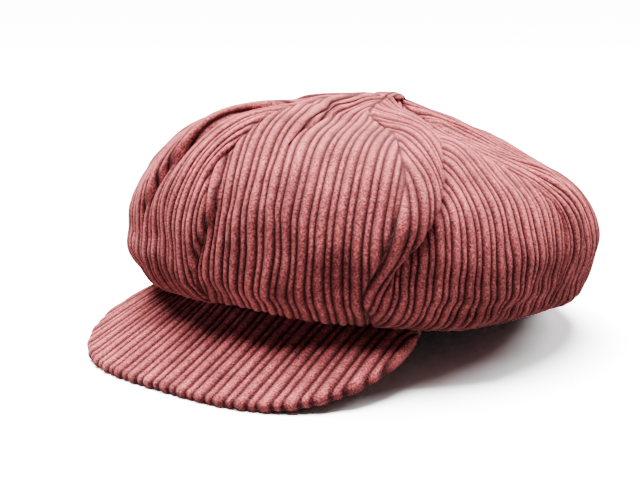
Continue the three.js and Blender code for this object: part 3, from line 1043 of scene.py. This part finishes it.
def speckled_material(name, dark, light, scale, roughness, metallic=0.0):
    """Fine grain in two shades, with the gloss and a slight relief following it."""
    nodes = Nodes(name, {"Metallic": metallic})
    grain = nodes.noise(nodes.place, "Object", scale, 4.0, 0.65)
    shades = nodes.ramp(grain, "Fac", [(0.3, dark), (0.7, light)])
    nodes.link(shades, "Color", nodes.shader, "Base Color")
    gloss = nodes.add("ShaderNodeMapRange")
    gloss.inputs["To Min"].default_value = roughness - 0.08
    gloss.inputs["To Max"].default_value = roughness + 0.08
    nodes.link(grain, "Fac", gloss, "Value")
    nodes.link(gloss, "Result", nodes.shader, "Roughness")
    nodes.relief(grain, "Fac", 0.3, 0.0002)
    return nodes.material


# ---- building ----


def paint(pieces, material):
    for piece in pieces:
        piece.data.materials.clear()
        piece.data.materials.append(material)


WRINKLES = settled_wrinkles()
CROWN = [crown_panel(index, WRINKLES) for index in range(PANELS)]
BOARD = brim_board()
BRIM = [brim_top(), brim_under()]
LINING = lining_panels()
BAND, BAND_STITCHING = sweatband()
ELASTIC, TAB = elastic_and_tab()
BUTTON = covered_button()
BUTTON_BACK = button_back()

paint(CROWN + BRIM + [BUTTON], corduroy_material())
paint(LINING, woven_material("lining_cotton", (0.020, 0.010, 0.012), (0.075, 0.040, 0.044), 0.0007, 0.0))
paint([BAND], woven_material("band_twill", (0.014, 0.008, 0.009), (0.060, 0.036, 0.038), 0.0011, 0.9))
paint(BAND_STITCHING, speckled_material("thread", (0.05, 0.02, 0.024), (0.13, 0.055, 0.06), 1500, 0.7))
paint([ELASTIC], woven_material("elastic_knit", (0.55, 0.53, 0.50), (0.80, 0.78, 0.74), 0.0014, 0.0))
paint([TAB], woven_material("tab_satin", (0.60, 0.59, 0.57), (0.86, 0.85, 0.82), 0.0006, 0.0, 0.5))
paint([BOARD], speckled_material("board", (0.30, 0.27, 0.22), (0.48, 0.44, 0.38), 400, 0.9))
paint([BUTTON_BACK], speckled_material("plated_steel", (0.42, 0.42, 0.43), (0.62, 0.62, 0.63), 600, 0.35, 1.0))

# ---- camera, light and floor ----

CAMERA_AZIMUTH = 40.0
CAMERA_ELEVATION = 11.9
CAMERA_DISTANCE = 0.759
CAMERA_TARGET = (-14.2, -21.9, 53.6)
LENS = 72.4
AMBIENT = 0.06                    # strength of the surroundings as they light the cap
BACKDROP = 14.0                   # and as the camera sees them
FLOOR_CLEAR = 0.30                # the floor starts to whiten this far from the middle, in metres
FLOOR_WHITE = 0.65                # and is as white as the backdrop here
FLOOR_SEEN = 2.2                  # shade of the floor to the camera
FLOOR_LIT = 0.20                  # and to the light that it throws back at the cap


def aimed(name, data, target, azimuth, elevation, distance):
    """A camera or light that faces a target: azimuth 0 is straight in front, and 90 the wearer's left."""
    thing = bpy.data.objects.new(name, data)
    bpy.context.collection.objects.link(thing)
    az, el = math.radians(azimuth), math.radians(elevation)
    way = np.array([math.sin(az) * math.cos(el), -math.cos(az) * math.cos(el), math.sin(el)])
    thing.location = np.asarray(target) + way * distance
    thing.rotation_euler = (math.pi / 2 - el, 0, az)
    return thing


def camera():
    data = bpy.data.cameras.new("camera")
    data.lens = LENS
    data.sensor_width = 36
    data.clip_start = 0.01
    bpy.context.scene.camera = aimed(
        "camera", data, place(CAMERA_TARGET), CAMERA_AZIMUTH, CAMERA_ELEVATION, CAMERA_DISTANCE)


def area_light(name, azimuth, elevation, distance, size, power):
    """A round soft light that faces the cap; distance and size in metres, power in watts."""
    data = bpy.data.lights.new(name, "AREA")
    data.shape = "DISK"
    data.size = size
    data.energy = power
    aimed(name, data, (0, 0, 0.06), azimuth, elevation, distance)


def floor_material():
    """Matt white paper that runs into the backdrop: it glows in the distance, but only to the camera."""
    nodes = Nodes("pale_floor", {
        "Roughness": 0.8, "Specular IOR Level": 0.0, "Emission Color": (1, 1, 1, 1)})
    seen = nodes.add("ShaderNodeLightPath")
    white = nodes.mix("MIX", (seen, "Is Camera Ray"), (FLOOR_LIT,) * 3, (FLOOR_SEEN,) * 3)
    nodes.link(white, 2, nodes.shader, "Base Color")
    distance = nodes.add("ShaderNodeVectorMath", operation="LENGTH")
    nodes.link(nodes.place, "Object", distance, 0)
    far = nodes.add("ShaderNodeMapRange", interpolation_type="SMOOTHSTEP")
    far.inputs["From Min"].default_value = FLOOR_CLEAR
    far.inputs["From Max"].default_value = FLOOR_WHITE
    nodes.link(distance, "Value", far, "Value")
    glow = nodes.add("ShaderNodeMath", operation="MULTIPLY")
    nodes.link(far, "Result", glow, 0)
    nodes.link(seen, "Is Camera Ray", glow, 1)
    strength = nodes.add("ShaderNodeMath", operation="MULTIPLY")
    nodes.link(glow, "Value", strength, 0)
    strength.inputs[1].default_value = BACKDROP
    nodes.link(strength, "Value", nodes.shader, "Emission Strength")
    return nodes.material


def stage():
    """The floor, and surroundings that are dim to the cap and white to the camera."""
    bpy.ops.mesh.primitive_plane_add(size=12, location=(0, 0, 0))
    floor = bpy.context.object
    floor.name = "floor"
    floor.data.materials.append(floor_material())
    world = bpy.data.worlds.new("studio")
    world.use_nodes = True
    tree = world.node_tree
    background = tree.nodes["Background"]
    background.inputs["Color"].default_value = (1, 1, 1, 1)
    seen = tree.nodes.new("ShaderNodeLightPath")
    strength = tree.nodes.new("ShaderNodeMapRange")
    strength.inputs["To Min"].default_value = AMBIENT
    strength.inputs["To Max"].default_value = BACKDROP
    tree.links.new(seen.outputs["Is Camera Ray"], strength.inputs["Value"])
    tree.links.new(strength.outputs["Result"], background.inputs["Strength"])
    bpy.context.scene.world = world


camera()
stage()
area_light("key", 253, 78, 1.5, 1.8, 355)
area_light("side", 152, 36, 1.6, 0.8, 20)
area_light("fill", -108, 34, 1.6, 1.0, 18)
